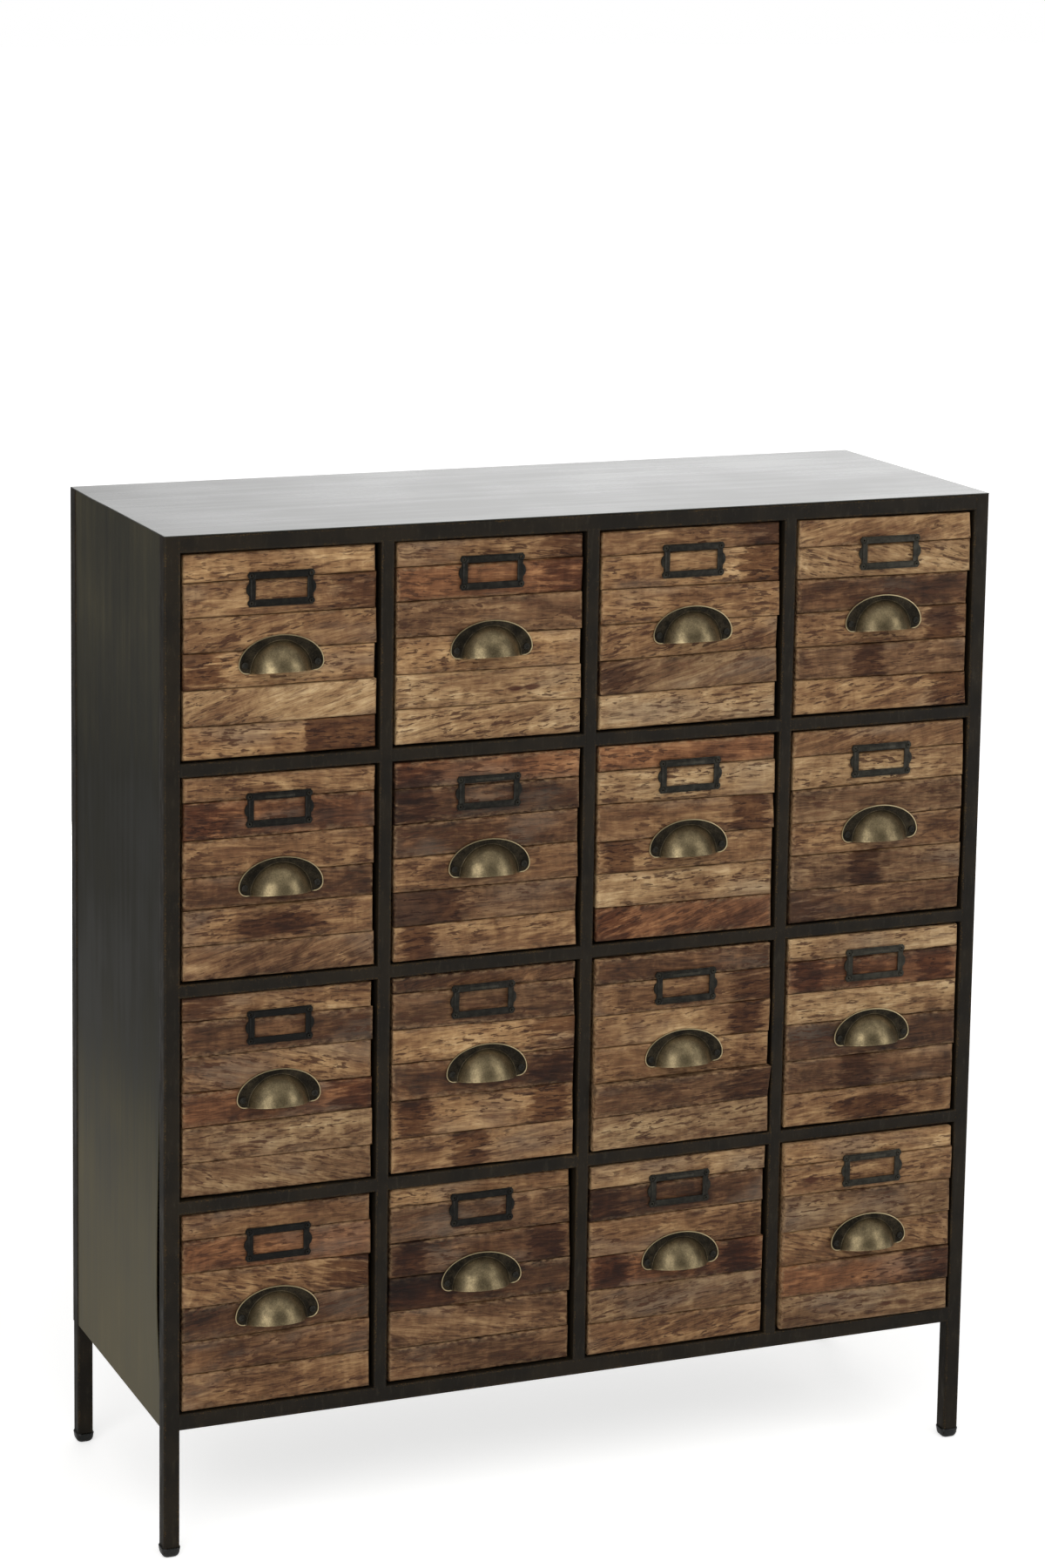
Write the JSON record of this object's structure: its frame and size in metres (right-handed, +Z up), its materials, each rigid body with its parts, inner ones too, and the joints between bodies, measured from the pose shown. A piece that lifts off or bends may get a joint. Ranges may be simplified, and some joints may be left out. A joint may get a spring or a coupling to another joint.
{
  "type": "drawer cabinet",
  "caption": "Free-standing steel-framed parts cabinet with a grid of plank-fronted wooden drawers, each with a cup pull and a label holder, sliding on steel angles.",
  "frame": {"origin": "on the floor, in the middle of the whole footprint with pulls and feet counted in", "axes": "+Z up, -Y out of the drawer fronts, +X to the right of someone facing the fronts"},
  "size_m": [1.034, 0.4031, 1.187],
  "materials": {
    "frame_steel": "dark lacquered square tube with worn bronze specks on the edges",
    "sheet_steel": "dark brushed sheet with streaks under clear lacquer",
    "foot_rubber": "smooth black",
    "reclaimed_wood": "reclaimed planks of mixed brown tones, waxed",
    "aged_brass": "antiqued, with a dark patina and rubbed bright edges",
    "black_iron": "satin black, worn at the pins"
  },
  "bodies": {
    "carcass": {"front_posts": "frame_steel", "rear_posts": "frame_steel", "front_grid": "frame_steel", "rear_frame": "frame_steel", "side_rails": "frame_steel", "drawer_runners": "frame_steel", "top_panel": "sheet_steel", "back_panel": "sheet_steel", "left_side_panel": "sheet_steel", "right_side_panel": "sheet_steel", "bottom_panel": "sheet_steel", "feet": "foot_rubber"},
    "drawer_r1c1": {"drawer_case_r1c1": "reclaimed_wood", "cup_pull_r1c1": "aged_brass", "label_holder_r1c1": "black_iron"},
    "drawer_r1c2": {"drawer_case_r1c2": "reclaimed_wood", "cup_pull_r1c2": "aged_brass", "label_holder_r1c2": "black_iron"},
    "drawer_r1c3": {"drawer_case_r1c3": "reclaimed_wood", "cup_pull_r1c3": "aged_brass", "label_holder_r1c3": "black_iron"},
    "drawer_r1c4": {"drawer_case_r1c4": "reclaimed_wood", "cup_pull_r1c4": "aged_brass", "label_holder_r1c4": "black_iron"},
    "drawer_r2c1": {"drawer_case_r2c1": "reclaimed_wood", "cup_pull_r2c1": "aged_brass", "label_holder_r2c1": "black_iron"},
    "drawer_r2c2": {"drawer_case_r2c2": "reclaimed_wood", "cup_pull_r2c2": "aged_brass", "label_holder_r2c2": "black_iron"},
    "drawer_r2c3": {"drawer_case_r2c3": "reclaimed_wood", "cup_pull_r2c3": "aged_brass", "label_holder_r2c3": "black_iron"},
    "drawer_r2c4": {"drawer_case_r2c4": "reclaimed_wood", "cup_pull_r2c4": "aged_brass", "label_holder_r2c4": "black_iron"},
    "drawer_r3c1": {"drawer_case_r3c1": "reclaimed_wood", "cup_pull_r3c1": "aged_brass", "label_holder_r3c1": "black_iron"},
    "drawer_r3c2": {"drawer_case_r3c2": "reclaimed_wood", "cup_pull_r3c2": "aged_brass", "label_holder_r3c2": "black_iron"},
    "drawer_r3c3": {"drawer_case_r3c3": "reclaimed_wood", "cup_pull_r3c3": "aged_brass", "label_holder_r3c3": "black_iron"},
    "drawer_r3c4": {"drawer_case_r3c4": "reclaimed_wood", "cup_pull_r3c4": "aged_brass", "label_holder_r3c4": "black_iron"},
    "drawer_r4c1": {"drawer_case_r4c1": "reclaimed_wood", "cup_pull_r4c1": "aged_brass", "label_holder_r4c1": "black_iron"},
    "drawer_r4c2": {"drawer_case_r4c2": "reclaimed_wood", "cup_pull_r4c2": "aged_brass", "label_holder_r4c2": "black_iron"},
    "drawer_r4c3": {"drawer_case_r4c3": "reclaimed_wood", "cup_pull_r4c3": "aged_brass", "label_holder_r4c3": "black_iron"},
    "drawer_r4c4": {"drawer_case_r4c4": "reclaimed_wood", "cup_pull_r4c4": "aged_brass", "label_holder_r4c4": "black_iron"}
  },
  "joints": [
    {"name": "slide_r1c1", "type": "slide", "parent": "carcass", "child": "drawer_r1c1", "axis": [0, -1, 0], "range_m": [0, 0.26]},
    {"name": "slide_r1c2", "type": "slide", "parent": "carcass", "child": "drawer_r1c2", "axis": [0, -1, 0], "range_m": [0, 0.26]},
    {"name": "slide_r1c3", "type": "slide", "parent": "carcass", "child": "drawer_r1c3", "axis": [0, -1, 0], "range_m": [0, 0.26]},
    {"name": "slide_r1c4", "type": "slide", "parent": "carcass", "child": "drawer_r1c4", "axis": [0, -1, 0], "range_m": [0, 0.26]},
    {"name": "slide_r2c1", "type": "slide", "parent": "carcass", "child": "drawer_r2c1", "axis": [0, -1, 0], "range_m": [0, 0.26]},
    {"name": "slide_r2c2", "type": "slide", "parent": "carcass", "child": "drawer_r2c2", "axis": [0, -1, 0], "range_m": [0, 0.26]},
    {"name": "slide_r2c3", "type": "slide", "parent": "carcass", "child": "drawer_r2c3", "axis": [0, -1, 0], "range_m": [0, 0.26]},
    {"name": "slide_r2c4", "type": "slide", "parent": "carcass", "child": "drawer_r2c4", "axis": [0, -1, 0], "range_m": [0, 0.26]},
    {"name": "slide_r3c1", "type": "slide", "parent": "carcass", "child": "drawer_r3c1", "axis": [0, -1, 0], "range_m": [0, 0.26]},
    {"name": "slide_r3c2", "type": "slide", "parent": "carcass", "child": "drawer_r3c2", "axis": [0, -1, 0], "range_m": [0, 0.26]},
    {"name": "slide_r3c3", "type": "slide", "parent": "carcass", "child": "drawer_r3c3", "axis": [0, -1, 0], "range_m": [0, 0.26]},
    {"name": "slide_r3c4", "type": "slide", "parent": "carcass", "child": "drawer_r3c4", "axis": [0, -1, 0], "range_m": [0, 0.26]},
    {"name": "slide_r4c1", "type": "slide", "parent": "carcass", "child": "drawer_r4c1", "axis": [0, -1, 0], "range_m": [0, 0.26]},
    {"name": "slide_r4c2", "type": "slide", "parent": "carcass", "child": "drawer_r4c2", "axis": [0, -1, 0], "range_m": [0, 0.26]},
    {"name": "slide_r4c3", "type": "slide", "parent": "carcass", "child": "drawer_r4c3", "axis": [0, -1, 0], "range_m": [0, 0.26]},
    {"name": "slide_r4c4", "type": "slide", "parent": "carcass", "child": "drawer_r4c4", "axis": [0, -1, 0], "range_m": [0, 0.26]}
  ]
}
